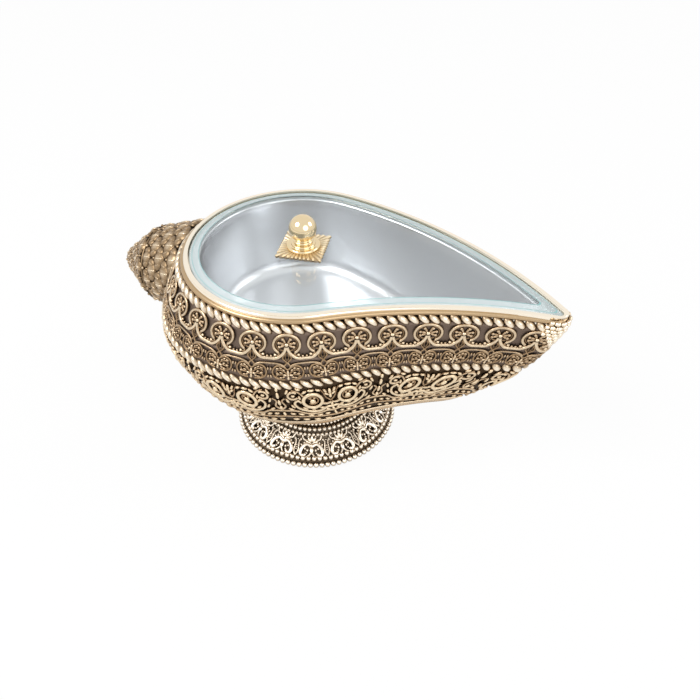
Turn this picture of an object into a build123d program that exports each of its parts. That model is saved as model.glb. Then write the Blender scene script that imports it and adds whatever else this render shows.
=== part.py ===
"""A conch-shaped dry fruit box: a pointed bowl on a round beaded foot, with a steel liner and a lift-off glass lid."""

from build123d import *
import math
import os

os.makedirs("parts", exist_ok=True)

# Heights above the table, in millimetres
RIM_TOP = 128.0
GLASS_THICKNESS = 5.0
FLANGE_THICKNESS = 1.0
LEDGE_THICKNESS = 3.0
BODY_BOTTOM = 48.0
BODY_WALL = 3.0
LEDGE_TOP = RIM_TOP - GLASS_THICKNESS - FLANGE_THICKNESS
BODY_TOP = LEDGE_TOP - LEDGE_THICKNESS

# The mouth seen from above: a round end, a pointed end, a bowed side and a hollow side
ROUND_RADIUS = 64.0
ROUND_CENTRE = (-9.0, 2.0)
TIP_CENTRE = (139.0, 11.0)
TIP_RADIUS = 5.0
LEAST_TIP_RADIUS = 2.0
BOWED_RADIUS = 260.0
HOLLOW_RADIUS = 250.0

# The hull's levels: height, swell of the round end, its slide, and the point's draw-back and slide
HULL_LEVELS = [
    (BODY_BOTTOM, -3.0, 2.0, 58.0, 6.0),
    (BODY_BOTTOM + 7.0, 3.0, 0.0, 48.0, 5.0),
    (67.0, 8.0, -4.0, 36.0, 4.0),
    (85.0, 12.0, -6.0, 19.0, 2.0),
    (104.0, 8.0, -4.0, 8.0, 1.0),
    (RIM_TOP, 0.0, 0.0, 0.0, 0.0),
]

# Ornament laid round the hull
STRIP_THICKNESS = 1.2
STRIP_GAP = 0.3
SOLDER_GAP = 0.1
ROPE_RADIUS = 2.5
UPPER_ROPE_Z = 121.2
LOWER_ROPE_Z = 89.0
STRIP_SEAM_Z = 105.0
SCROLL_FOOT_Z = 55.0
BELLY_RING_HEIGHT = 3.6
BELLY_RING_THICKNESS = 2.0

# Cast relief on the bands: horseshoe arches above, oval rings below
RELIEF_HEIGHT = 2.0
LEAN_SPAN = 5.0
ARCH_SEAT = 0.5
RING_SEAT = 0.6
RELIEF_END_X = 122.0
ARCH_COUNT = 27
ARCH_Z = 111.5
ARCH_RADIUS = 6.9
ARCH_WIDTH = 1.6
ARCH_MOUTH = 8.0
RING_COUNT = 26
RING_DRAW_BACK = 22.0
RING_Z = 76.5
RING_RADIUS = 5.0
RING_STRETCH = 1.5
RING_WIDTH = 1.8

# The mouth's rebate, glass and liner
RIM_WALL = 2.2
RIM_ROUNDING = 0.9
LEDGE_WIDTH = 6.0
GLASS_CLEARANCE = 0.5
GLASS_BEVEL = 1.2
LINER_CLEARANCE = 0.4
LINER_WALL = 1.0
LINER_FLOOR = 74.0
LINER_TAPER = 4.0
LINER_DRAW_BACK = 26.0
LINER_FILLET = 9.0
LINER_TURN_STEPS = 4

# The spire at the round end and the cap on the point
SPIRE_APEX = (-142.6, 79.0)
SPIRE_TILT = 9.0
SPIRE_LENGTH = 33.0
SPIRE_BASE_RADIUS = 24.6
SPIRE_BULGE = 0.8
SPIRE_NOSE_RADIUS = 3.4
COLLAR_LENGTH = 40.0
COLLAR_WAIST_RADIUS = 23.6
COLLAR_SHOULDER = 12.0
COLLAR_SHOULDER_RADIUS = 26.6
COLLAR_ROOT_RADIUS = 31.0
TIP_CAP_X = 131.0
TIP_CAP_THICKNESS = 2.6

# The foot
FOOT_RADIUS = 50.0
FOOT_LIP = 3.2
FOOT_WALL = 2.0
FOOT_SHOULDER_RADIUS = FOOT_RADIUS * 0.66
FOOT_SHOULDER_Z = 16.5
FOOT_DISH = 3.0
NECK_RADIUS = FOOT_RADIUS * 0.42
NECK_Z = 30.0
COLLAR_LIP_RADIUS = 45.0
COLLAR_LIP_Z = 40.0
COLLAR_SLANT = 3.0
COLLAR_SCALLOPS = 36
COLLAR_SCALLOP_RADIUS = 4.2
BEAD_RADIUS = 1.8
LOWER_BEAD_CIRCLE = FOOT_RADIUS + 1.2
INNER_BEAD_CIRCLE = FOOT_RADIUS - 1.6
INNER_BEAD_Z = FOOT_LIP + 1.6
UPPER_BEAD_CIRCLE = FOOT_SHOULDER_RADIUS + 1.6
UPPER_BEAD_Z = FOOT_SHOULDER_Z + 0.1
UPPER_BEAD_RADIUS = 1.55
NECK_RING_Z = 28.0
NECK_RING_RADIUS = 2.2
FLORAL_INNER_RADIUS = FOOT_SHOULDER_RADIUS + 3.6
FLORAL_OUTER_RADIUS = FOOT_RADIUS - 3.6
FLORAL_THICKNESS = 1.2
PAD_THICKNESS = 1.2
PAD_RADIUS = FOOT_RADIUS - FOOT_WALL - 1.0

# The bolt that holds the foot
BOLT_RADIUS = 3.0
BOLT_CLEARANCE = 0.3
BOLT_HEAD_RADIUS = 5.5
BOLT_HEAD_HEIGHT = 3.4
BOLT_TAIL = 12.0
WASHER_OUTER_RADIUS = 7.0
WASHER_THICKNESS = 1.0
NUT_RADIUS = 5.8
NUT_HEIGHT = 5.0

# The knob
KNOB_CENTRE = (-4.5, 1.0)
KNOB_TURN = 16.0
BALL_RADIUS = 8.2
KNOB_HEIGHT = 23.5
KNOB_BASE_RADIUS = 10.2
KNOB_STEP_RADIUS = 7.6
KNOB_STEP = 2.2
KNOB_NECK_RADIUS = 4.6
PLATE_WIDTH = 25.5
PLATE_THICKNESS = 1.4
PLATE_SCALLOPS = 9
PLATE_FLUTES = 36
PLATE_FLUTE_DEPTH = 0.5
SCREW_RADIUS = 2.0
SCREW_CLEARANCE = 0.3
SCREW_BITE = 9.0
SCREW_HEAD_RADIUS = 4.2
SCREW_HEAD_HEIGHT = 2.2
GLASS_WASHER_RADIUS = 7.0
GLASS_WASHER_THICKNESS = 0.8

GRASP = 400.0


def from_to(centre, radius, toward):
    """The point at a radius from a centre, on the line to another point."""
    reach = math.dist(centre, toward)
    return (
        centre[0] + radius * (toward[0] - centre[0]) / reach,
        centre[1] + radius * (toward[1] - centre[1]) / reach,
    )


def third_corner(a, b, from_a, from_b):
    """The point at the given distances from a and from b, to the right of the way from a to b."""
    span = math.dist(a, b)
    along = (from_a**2 - from_b**2 + span**2) / (2 * span)
    away = math.sqrt(from_a**2 - along**2)
    ux, uy = (b[0] - a[0]) / span, (b[1] - a[1]) / span
    return (a[0] + along * ux + away * uy, a[1] + along * uy - away * ux)


def arc_about(centre, radius, start, end, clockwise):
    """An arc about a centre between two points, in one turning sense."""
    a = math.atan2(start[1] - centre[1], start[0] - centre[0])
    b = math.atan2(end[1] - centre[1], end[0] - centre[0])
    turn = -((a - b) % (2 * math.pi)) if clockwise else (b - a) % (2 * math.pi)
    halfway = (centre[0] + radius * math.cos(a + turn / 2), centre[1] + radius * math.sin(a + turn / 2))
    return ThreePointArc(start, halfway, end)


def conch_outline(grow=0.0, swell=0.0, slide=0.0, draw_back=0.0, drop=0.0):
    """The pointed outline in four tangent arcs, grown all round by an even amount."""
    round_centre = (ROUND_CENTRE[0] + slide, ROUND_CENTRE[1])
    tip = (TIP_CENTRE[0] - draw_back, TIP_CENTRE[1] - drop)
    round_radius = ROUND_RADIUS + swell
    bowed = third_corner(round_centre, tip, BOWED_RADIUS - round_radius, BOWED_RADIUS - TIP_RADIUS)
    hollow = third_corner(round_centre, tip, HOLLOW_RADIUS + round_radius, HOLLOW_RADIUS + TIP_RADIUS)
    bowed_r, hollow_r, round_r = BOWED_RADIUS + grow, HOLLOW_RADIUS - grow, round_radius + grow
    tip_r = max(TIP_RADIUS + grow, LEAST_TIP_RADIUS)
    tip = third_corner(hollow, bowed, hollow_r + tip_r, bowed_r - tip_r)
    on_hollow_round = from_to(round_centre, round_r, hollow)
    on_bowed_round = from_to(bowed, bowed_r, round_centre)
    on_bowed_tip = from_to(bowed, bowed_r, tip)
    on_hollow_tip = from_to(tip, tip_r, hollow)
    with BuildLine() as outline:
        arc_about(round_centre, round_r, on_hollow_round, on_bowed_round, True)
        arc_about(bowed, bowed_r, on_bowed_round, on_bowed_tip, True)
        arc_about(tip, tip_r, on_bowed_tip, on_hollow_tip, True)
        arc_about(hollow, hollow_r, on_hollow_tip, on_hollow_round, False)
    return outline.line


def level_at(height):
    """The hull's swell, slide, draw-back and drop at one height, along smooth curves through its levels."""
    at = max(i for i, level in enumerate(HULL_LEVELS[:-1]) if level[0] <= height)
    before, low, high, after = [HULL_LEVELS[max(0, min(at + k, len(HULL_LEVELS) - 1))] for k in (-1, 0, 1, 2)]
    span = high[0] - low[0]
    t = (height - low[0]) / span
    values = []
    for k in range(1, len(low)):
        slope_low = (high[k] - before[k]) / (high[0] - before[0]) * span
        slope_high = (after[k] - low[k]) / (after[0] - low[0]) * span
        from_low = (2 * t**3 - 3 * t**2 + 1) * low[k] + (t**3 - 2 * t**2 + t) * slope_low
        values.append(from_low + (3 * t**2 - 2 * t**3) * high[k] + (t**3 - t**2) * slope_high)
    return values


def hull(grow=0.0):
    """The hull as one smooth solid from its bottom to the rim, grown sideways by an even amount."""
    with BuildPart() as solid:
        for height, swell, slide, draw_back, drop in HULL_LEVELS:
            with BuildSketch(Plane.XY.offset(height)):
                with BuildLine():
                    add(conch_outline(grow, swell, slide, draw_back, drop))
                make_face()
        loft()
    return solid.part


def between(low, high):
    """Keeps only what lies between two heights."""
    with Locations((0, 0, (low + high) / 2)):
        Box(GRASP, GRASP, high - low, mode=Mode.INTERSECT)


def outline_prism(low, high, grow, mode):
    """An upright prism on the mouth's outline."""
    with BuildSketch(Plane.XY.offset(low)) as base:
        with BuildLine():
            add(conch_outline(grow))
        make_face()
    extrude(base.sketch, amount=high - low, mode=mode)


def turned(centre, low, high, radius, mode=Mode.ADD):
    """An upright cylinder between two heights."""
    with BuildSketch(Plane.XY.offset(low)) as base:
        with Locations(centre):
            Circle(radius)
    extrude(base.sketch, amount=high - low, mode=mode)


def facing(height, share, seat):
    """A plane laid on the hull, at a share of the way round it, with its y axis up the wall."""
    below, at, above = [
        Wire(conch_outline(0.0, *level_at(z)).edges()).moved(Location((0, 0, z)))
        for z in (height - LEAN_SPAN, height, height + LEAN_SPAN)
    ]
    low, point, high = [edge.position_at(share * edge.length, PositionMode.LENGTH) for edge in (below, at, above)]
    way = at.tangent_at(share * at.length, PositionMode.LENGTH)
    uphill = Vector(0, 0, 1) * (high.Z - low.Z) + Vector(-way.Y, way.X, 0) * (high - low).dot(Vector(-way.Y, way.X, 0))
    return Plane(origin=point, x_dir=-way, z_dir=(-way).cross(uphill)).offset(seat)


# Bodies the pieces are cut from
hull_skin = hull()
hull_core = hull(-BODY_WALL)
hull_strip = hull(STRIP_THICKNESS)
hull_seat = hull(SOLDER_GAP)
SPIRE_LINE = Plane(origin=(SPIRE_APEX[0], 0, SPIRE_APEX[1]), x_dir=(1, 0, 0), z_dir=(0, -1, 0)).rotated(
    (0, -SPIRE_TILT, 0)
)
SPIRE_AXIS = Axis(SPIRE_LINE.origin, SPIRE_LINE.x_dir)

with BuildPart() as collar_stock:
    with BuildSketch(SPIRE_LINE):
        with BuildLine():
            waist = (SPIRE_LENGTH, COLLAR_WAIST_RADIUS)
            root = (SPIRE_LENGTH + COLLAR_LENGTH, COLLAR_ROOT_RADIUS)
            Spline(waist, (SPIRE_LENGTH + COLLAR_SHOULDER, COLLAR_SHOULDER_RADIUS), root)
            Polyline(root, (root[0], 0), (waist[0], 0), waist)
        make_face()
    revolve(axis=SPIRE_AXIS)
collar_solid = collar_stock.part

# The hull: a thin metal shell with a flat bottom and an open top
with BuildPart() as body_shell:
    add(hull_skin)
    between(BODY_BOTTOM, BODY_TOP)
    with BuildPart(mode=Mode.PRIVATE) as hollow:
        add(hull_core)
        between(BODY_BOTTOM + BODY_WALL, RIM_TOP)
    add(hollow.part, mode=Mode.SUBTRACT)
    turned((0, 0), BODY_BOTTOM, BODY_BOTTOM + BODY_WALL, BOLT_RADIUS + BOLT_CLEARANCE, Mode.SUBTRACT)
body_shell.part.label = "body_shell"
export_step(body_shell.part, "parts/body_shell.step")

# The rim: a smooth band with a rebate for the glass and a ledge for the liner
with BuildPart() as rim_band:
    add(hull_skin)
    between(BODY_TOP, RIM_TOP)
    outline_prism(LEDGE_TOP, RIM_TOP, -RIM_WALL, Mode.SUBTRACT)
    outline_prism(BODY_TOP, LEDGE_TOP, -RIM_WALL - LEDGE_WIDTH, Mode.SUBTRACT)
rim_band.part.label = "rim_band"
export_step(rim_band.part, "parts/rim_band.step")

# The liner: a steel bowl that hangs on the ledge by its flange
LINER_EDGE = -RIM_WALL - LEDGE_WIDTH - LINER_CLEARANCE


def liner_solid(inset):
    """The bowl as a solid: straight drawn sides and a rounded turn into the flat floor."""
    rounding = LINER_FILLET - inset
    turn_z = LINER_FLOOR + inset + rounding
    levels = [(LEDGE_TOP + FLANGE_THICKNESS, 0.0, 0.0), (turn_z, LINER_TAPER, LINER_DRAW_BACK)]
    for step in range(1, LINER_TURN_STEPS + 1):
        angle = math.pi / 2 * step / LINER_TURN_STEPS
        inward = rounding * (1 - math.cos(angle))
        levels.append((turn_z - rounding * math.sin(angle), LINER_TAPER + inward, LINER_DRAW_BACK))
    with BuildPart() as bowl:
        for height, inward, draw_back in levels:
            with BuildSketch(Plane.XY.offset(height)):
                with BuildLine():
                    add(conch_outline(LINER_EDGE - inset - inward, draw_back=draw_back))
                make_face()
        loft(ruled=True)
    return bowl.part


with BuildPart() as liner_bowl:
    outline_prism(LEDGE_TOP, LEDGE_TOP + FLANGE_THICKNESS, -RIM_WALL - GLASS_CLEARANCE, Mode.ADD)
    add(liner_solid(0.0))
    add(liner_solid(LINER_WALL), mode=Mode.SUBTRACT)
liner_bowl.part.label = "liner_bowl"
export_step(liner_bowl.part, "parts/liner_bowl.step")


def rope(height):
    """A half-round moulding that follows the hull at one height."""
    swell, slide, draw_back, drop = level_at(height)
    path = conch_outline(0.0, swell, slide, draw_back, drop).moved(Location((0, 0, height)))
    start = path.edges()[0]
    with BuildPart() as cord:
        with BuildSketch(Plane(origin=start @ 0, z_dir=start % 0)):
            Circle(ROPE_RADIUS)
        sweep(path=path)
        add(hull_seat, mode=Mode.SUBTRACT)
        add(collar_solid, mode=Mode.SUBTRACT)
        outline_prism(BODY_TOP, RIM_TOP, -RIM_WALL / 2, Mode.SUBTRACT)
    return cord.solids().sort_by(SortBy.VOLUME)[-1]


# Two twisted ropes, drawn as half-round mouldings
with BuildPart() as upper_rope:
    add(rope(UPPER_ROPE_Z))
upper_rope.part.label = "upper_rope"
export_step(upper_rope.part, "parts/upper_rope.step")

with BuildPart() as lower_rope:
    add(rope(LOWER_ROPE_Z))
lower_rope.part.label = "lower_rope"
export_step(lower_rope.part, "parts/lower_rope.step")

# Three bands of cast ornament between the ropes, and a plain ring at the bottom edge
with BuildPart() as arches:
    laid = [facing(ARCH_Z, arch / ARCH_COUNT, ARCH_SEAT) for arch in range(ARCH_COUNT)]
    for plane in [plane for plane in laid if plane.origin.X < RELIEF_END_X]:
        with BuildSketch(plane):
            Circle(ARCH_RADIUS)
            Circle(ARCH_RADIUS - ARCH_WIDTH, mode=Mode.SUBTRACT)
            with Locations((0, -ARCH_RADIUS)):
                Rectangle(ARCH_MOUTH, ARCH_RADIUS, mode=Mode.SUBTRACT)
        extrude(amount=RELIEF_HEIGHT)

with BuildPart() as rosette_stock:
    add(hull_strip)
    between(STRIP_SEAM_Z, UPPER_ROPE_Z - ROPE_RADIUS - STRIP_GAP)
    add(hull_seat, mode=Mode.SUBTRACT)
    add(arches.part)
    add(collar_solid, mode=Mode.SUBTRACT)

with BuildPart() as rosette_strip:
    add(rosette_stock.solids().sort_by(SortBy.VOLUME)[-1])
rosette_strip.part.label = "rosette_strip"
export_step(rosette_strip.part, "parts/rosette_strip.step")

with BuildPart() as lace_strip:
    add(hull_strip)
    between(LOWER_ROPE_Z + ROPE_RADIUS + STRIP_GAP, STRIP_SEAM_Z - STRIP_GAP)
    add(hull_seat, mode=Mode.SUBTRACT)
    add(collar_solid, mode=Mode.SUBTRACT)
lace_strip.part.label = "lace_strip"
export_step(lace_strip.part, "parts/lace_strip.step")

with BuildPart() as rings:
    laid = [facing(RING_Z, (ring + 0.5) / RING_COUNT, RING_SEAT) for ring in range(RING_COUNT)]
    for plane in [plane for plane in laid if plane.origin.X < RELIEF_END_X - RING_DRAW_BACK]:
        with BuildSketch(plane):
            Ellipse(RING_RADIUS, RING_RADIUS * RING_STRETCH)
            Ellipse(RING_RADIUS - RING_WIDTH, RING_RADIUS * RING_STRETCH - RING_WIDTH, mode=Mode.SUBTRACT)
        extrude(amount=RELIEF_HEIGHT)

with BuildPart() as scroll_stock:
    add(hull_strip)
    between(SCROLL_FOOT_Z, LOWER_ROPE_Z - ROPE_RADIUS - STRIP_GAP)
    add(hull_seat, mode=Mode.SUBTRACT)
    add(rings.part)
    add(collar_solid, mode=Mode.SUBTRACT)

with BuildPart() as scroll_strip:
    add(scroll_stock.solids().sort_by(SortBy.VOLUME)[-1])
scroll_strip.part.label = "scroll_strip"
export_step(scroll_strip.part, "parts/scroll_strip.step")

with BuildPart() as belly_ring:
    add(hull(BELLY_RING_THICKNESS))
    between(BODY_BOTTOM, BODY_BOTTOM + BELLY_RING_HEIGHT)
    add(hull_seat, mode=Mode.SUBTRACT)
belly_ring.part.label = "belly_ring"
export_step(belly_ring.part, "parts/belly_ring.step")

# The cap on the point, between the seam and the rim
with BuildPart() as tip_cap:
    add(hull(TIP_CAP_THICKNESS))
    between(STRIP_SEAM_Z, UPPER_ROPE_Z - ROPE_RADIUS - STRIP_GAP)
    add(hull_strip, mode=Mode.SUBTRACT)
    with Locations((TIP_CAP_X - GRASP / 2, 0, RIM_TOP)):
        Box(GRASP, GRASP, GRASP, mode=Mode.SUBTRACT)
tip_cap.part.label = "tip_cap"
export_step(tip_cap.part, "parts/tip_cap.step")

# The spire: a leafy collar that grows out of the round end, and a blunt cone on it
with BuildPart() as spire_collar:
    add(collar_solid)
    add(hull_seat, mode=Mode.SUBTRACT)
spire_collar.part.label = "spire_collar"
export_step(spire_collar.part, "parts/spire_collar.step")

with BuildPart() as spire_cone:
    with BuildSketch(SPIRE_LINE):
        with BuildLine():
            base = (SPIRE_LENGTH, SPIRE_BASE_RADIUS)
            nose = (SPIRE_NOSE_RADIUS * 0.6, SPIRE_NOSE_RADIUS)
            middle = ((base[0] + nose[0]) / 2, (base[1] + nose[1]) / 2 + SPIRE_BULGE)
            Spline((0, 0), nose, middle, base, tangents=((0, 1), (1, 0.4)))
            Polyline(base, (base[0], 0), (0, 0))
        make_face()
    revolve(axis=SPIRE_AXIS)
spire_cone.part.label = "spire_cone"
export_step(spire_cone.part, "parts/spire_cone.step")

# The foot: a spun bell with a flat lip, a dished slope and a waisted neck
FOOT_PLANE = Plane.XZ


def foot_profile(inset):
    """The bell's line from the lip to the neck, moved in by the wall."""
    lip = (FOOT_RADIUS - inset, FOOT_LIP - inset)
    shoulder = (FOOT_SHOULDER_RADIUS - inset, FOOT_SHOULDER_Z - inset)
    slope = ((lip[0] + shoulder[0]) / 2 - FOOT_DISH / 2, (lip[1] + shoulder[1]) / 2 - FOOT_DISH / 2)
    ThreePointArc(lip, slope, shoulder)
    waist = ((shoulder[0] + NECK_RADIUS) / 2 - FOOT_DISH, (shoulder[1] + NECK_Z) / 2 - inset / 2)
    Spline(shoulder, waist, (NECK_RADIUS - inset, NECK_Z - inset), tangents=((-1, 0), (0, 1)))
    return lip


with BuildPart() as foot_shell:
    with BuildSketch(FOOT_PLANE):
        with BuildLine():
            Line((FOOT_RADIUS, 0), (FOOT_RADIUS, FOOT_LIP))
            foot_profile(0.0)
            Line((NECK_RADIUS, NECK_Z), (0, NECK_Z))
            Line((0, NECK_Z), (0, 0))
            Line((0, 0), (FOOT_RADIUS, 0))
        make_face()
        with BuildLine():
            Line((FOOT_RADIUS - FOOT_WALL, 0), (FOOT_RADIUS - FOOT_WALL, FOOT_LIP - FOOT_WALL))
            foot_profile(FOOT_WALL)
            Line((NECK_RADIUS - FOOT_WALL, NECK_Z - FOOT_WALL), (0, NECK_Z - FOOT_WALL))
            Line((0, NECK_Z - FOOT_WALL), (0, 0))
            Line((0, 0), (FOOT_RADIUS - FOOT_WALL, 0))
        make_face(mode=Mode.SUBTRACT)
    revolve(axis=Axis.Z)
    turned((0, 0), 0, NECK_Z, BOLT_RADIUS + BOLT_CLEARANCE, Mode.SUBTRACT)
foot_shell.part.label = "foot_shell"
export_step(foot_shell.part, "parts/foot_shell.step")


def foot_ring(circle, height, radius):
    """A half-round bead row seated on the bell."""
    with BuildPart() as ring:
        with BuildSketch(FOOT_PLANE):
            with Locations((circle, height)):
                Circle(radius)
        revolve(axis=Axis.Z)
        add(foot_shell.part, mode=Mode.SUBTRACT)
    return ring.solids().sort_by(SortBy.VOLUME)[-1]


# The foot's bead rows and the ring round its neck
with BuildPart() as foot_bead_lower:
    add(foot_ring(LOWER_BEAD_CIRCLE, BEAD_RADIUS, BEAD_RADIUS))
foot_bead_lower.part.label = "foot_bead_lower"
export_step(foot_bead_lower.part, "parts/foot_bead_lower.step")

with BuildPart() as foot_bead_inner:
    add(foot_ring(INNER_BEAD_CIRCLE, INNER_BEAD_Z, BEAD_RADIUS))
    add(foot_bead_lower.part, mode=Mode.SUBTRACT)
foot_bead_inner.part.label = "foot_bead_inner"
export_step(foot_bead_inner.part, "parts/foot_bead_inner.step")

with BuildPart() as foot_bead_upper:
    add(foot_ring(UPPER_BEAD_CIRCLE, UPPER_BEAD_Z, UPPER_BEAD_RADIUS))
foot_bead_upper.part.label = "foot_bead_upper"
export_step(foot_bead_upper.part, "parts/foot_bead_upper.step")

with BuildPart() as neck_ring:
    add(foot_ring(NECK_RADIUS + NECK_RING_RADIUS / 2, NECK_RING_Z, NECK_RING_RADIUS))
neck_ring.part.label = "neck_ring"
export_step(neck_ring.part, "parts/neck_ring.step")

# The floral band on the bell's slope
with BuildPart() as foot_floral:
    with BuildSketch(FOOT_PLANE):
        with BuildLine():
            lip = (FOOT_RADIUS, FOOT_LIP)
            shoulder = (FOOT_SHOULDER_RADIUS, FOOT_SHOULDER_Z)
            slope = ((lip[0] + shoulder[0]) / 2 - FOOT_DISH / 2, (lip[1] + shoulder[1]) / 2 - FOOT_DISH / 2)
            low = ThreePointArc(lip, slope, shoulder)
            raised = [(x + FLORAL_THICKNESS / 2, z + FLORAL_THICKNESS) for x, z in (lip, slope, shoulder)]
            ThreePointArc(*raised)
            Line(lip, raised[0])
            Line(shoulder, raised[2])
        make_face()
    revolve(axis=Axis.Z)
    turned((0, 0), 0, NECK_Z, FLORAL_INNER_RADIUS, Mode.SUBTRACT)
    turned((0, 0), 0, NECK_Z, FLORAL_OUTER_RADIUS, Mode.INTERSECT)
    add(foot_shell.part, mode=Mode.SUBTRACT)
foot_floral.part.label = "foot_floral"
export_step(foot_floral.part, "parts/foot_floral.step")

# The scalloped collar that carries the hull on the neck
with BuildPart() as neck_collar:
    with BuildSketch(FOOT_PLANE):
        with BuildLine():
            Spline((NECK_RADIUS, NECK_Z), (COLLAR_LIP_RADIUS, COLLAR_LIP_Z), tangents=((1, 0.4), (1, 0.7)))
            Polyline(
                (COLLAR_LIP_RADIUS, COLLAR_LIP_Z),
                (COLLAR_LIP_RADIUS + COLLAR_SLANT, BODY_BOTTOM),
                (0, BODY_BOTTOM),
                (0, NECK_Z),
                (NECK_RADIUS, NECK_Z),
            )
        make_face()
    revolve(axis=Axis.Z)
    with BuildSketch():
        Circle(COLLAR_LIP_RADIUS - COLLAR_SCALLOP_RADIUS / 2)
        with PolarLocations(COLLAR_LIP_RADIUS + COLLAR_SLANT - COLLAR_SCALLOP_RADIUS, COLLAR_SCALLOPS):
            Circle(COLLAR_SCALLOP_RADIUS)
    extrude(amount=BODY_BOTTOM, mode=Mode.INTERSECT)
    turned((0, 0), NECK_Z, BODY_BOTTOM, BOLT_RADIUS + BOLT_CLEARANCE, Mode.SUBTRACT)
neck_collar.part.label = "neck_collar"
export_step(neck_collar.part, "parts/neck_collar.step")

# The bolt down through the hull, collar and neck, with its washer and nut inside the foot
BOLT_SEAT = BODY_BOTTOM + BODY_WALL
NUT_SEAT = NECK_Z - FOOT_WALL - WASHER_THICKNESS
with BuildPart() as foot_bolt:
    turned((0, 0), BOLT_SEAT, BOLT_SEAT + BOLT_HEAD_HEIGHT, BOLT_HEAD_RADIUS)
    fillet(foot_bolt.edges().group_by(Axis.Z)[-1], BOLT_HEAD_HEIGHT / 2)
    turned((0, 0), BOLT_TAIL, BOLT_SEAT, BOLT_RADIUS)
foot_bolt.part.label = "foot_bolt"
export_step(foot_bolt.part, "parts/foot_bolt.step")

with BuildPart() as foot_washer:
    turned((0, 0), NUT_SEAT, NUT_SEAT + WASHER_THICKNESS, WASHER_OUTER_RADIUS)
    turned((0, 0), NUT_SEAT, NUT_SEAT + WASHER_THICKNESS, BOLT_RADIUS + BOLT_CLEARANCE, Mode.SUBTRACT)
foot_washer.part.label = "foot_washer"
export_step(foot_washer.part, "parts/foot_washer.step")

with BuildPart() as foot_nut:
    with BuildSketch(Plane.XY.offset(NUT_SEAT - NUT_HEIGHT)):
        RegularPolygon(NUT_RADIUS, 6)
        Circle(BOLT_RADIUS, mode=Mode.SUBTRACT)
    extrude(amount=NUT_HEIGHT)
foot_nut.part.label = "foot_nut"
export_step(foot_nut.part, "parts/foot_nut.step")

# The felt pad under the foot
with BuildPart() as foot_pad:
    turned((0, 0), 0, PAD_THICKNESS, PAD_RADIUS)
foot_pad.part.label = "foot_pad"
export_step(foot_pad.part, "parts/foot_pad.step")

# The glass lid: a thick bevelled plate that lies in the rebate on the liner's flange
GLASS_BOTTOM = LEDGE_TOP + FLANGE_THICKNESS
with BuildPart() as glass_lid:
    outline_prism(GLASS_BOTTOM, RIM_TOP, -RIM_WALL - GLASS_CLEARANCE, Mode.ADD)
    chamfer(glass_lid.edges().group_by(Axis.Z)[-1], GLASS_BEVEL)
    turned(KNOB_CENTRE, GLASS_BOTTOM, RIM_TOP, SCREW_RADIUS + SCREW_CLEARANCE, Mode.SUBTRACT)
glass_lid.part.label = "glass_lid"
export_step(glass_lid.part, "parts/glass_lid.step")

# The knob's square fluted plate with scalloped edges
PLATE_PLANE = Plane(origin=(*KNOB_CENTRE, RIM_TOP)).rotated((0, 0, KNOB_TURN))
with BuildPart() as knob_plate:
    with BuildSketch(PLATE_PLANE):
        Rectangle(PLATE_WIDTH, PLATE_WIDTH)
        for side in range(4):
            with PolarLocations(PLATE_WIDTH / 2, 1, side * 90):
                with GridLocations(0, PLATE_WIDTH / PLATE_SCALLOPS, 1, PLATE_SCALLOPS):
                    Circle(PLATE_WIDTH / PLATE_SCALLOPS / 5, mode=Mode.SUBTRACT)
        Circle(SCREW_RADIUS + SCREW_CLEARANCE, mode=Mode.SUBTRACT)
    extrude(amount=PLATE_THICKNESS)
knob_plate.part.label = "knob_plate"
export_step(knob_plate.part, "parts/knob_plate.step")

# The knob: a ball on a ringed neck and a stepped round base, tapped from below
KNOB_BOTTOM = RIM_TOP + PLATE_THICKNESS
KNOB_AXIS = Plane(origin=(*KNOB_CENTRE, KNOB_BOTTOM), x_dir=(1, 0, 0), z_dir=(0, -1, 0))
BALL_Z = KNOB_HEIGHT - BALL_RADIUS
with BuildPart() as knob:
    with BuildSketch(KNOB_AXIS):
        with BuildLine():
            Polyline(
                (0, 0),
                (KNOB_BASE_RADIUS, 0),
                (KNOB_BASE_RADIUS, KNOB_STEP / 2),
                (KNOB_STEP_RADIUS + 1, KNOB_STEP),
                (KNOB_STEP_RADIUS, KNOB_STEP),
                (KNOB_STEP_RADIUS, KNOB_STEP * 1.6),
                (KNOB_NECK_RADIUS, KNOB_STEP * 2.2),
                (KNOB_NECK_RADIUS, BALL_Z),
                (0, BALL_Z),
                (0, 0),
            )
        make_face()
        with Locations((0, BALL_Z)):
            Circle(BALL_RADIUS)
        with Locations((KNOB_NECK_RADIUS, KNOB_STEP * 2.9)):
            Circle(KNOB_STEP / 2)
        with Locations((-GRASP / 2, 0)):
            Rectangle(GRASP, GRASP, mode=Mode.SUBTRACT)
    revolve(axis=Axis((*KNOB_CENTRE, 0), (0, 0, 1)))
    turned(KNOB_CENTRE, KNOB_BOTTOM, KNOB_BOTTOM + SCREW_BITE, SCREW_RADIUS, Mode.SUBTRACT)
knob.part.label = "knob"
export_step(knob.part, "parts/knob.step")

# The screw up through the glass, with a soft washer under its head
with BuildPart() as glass_washer:
    turned(KNOB_CENTRE, GLASS_BOTTOM - GLASS_WASHER_THICKNESS, GLASS_BOTTOM, GLASS_WASHER_RADIUS)
    turned(
        KNOB_CENTRE,
        GLASS_BOTTOM - GLASS_WASHER_THICKNESS,
        GLASS_BOTTOM,
        SCREW_RADIUS + SCREW_CLEARANCE,
        Mode.SUBTRACT,
    )
glass_washer.part.label = "glass_washer"
export_step(glass_washer.part, "parts/glass_washer.step")

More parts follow.
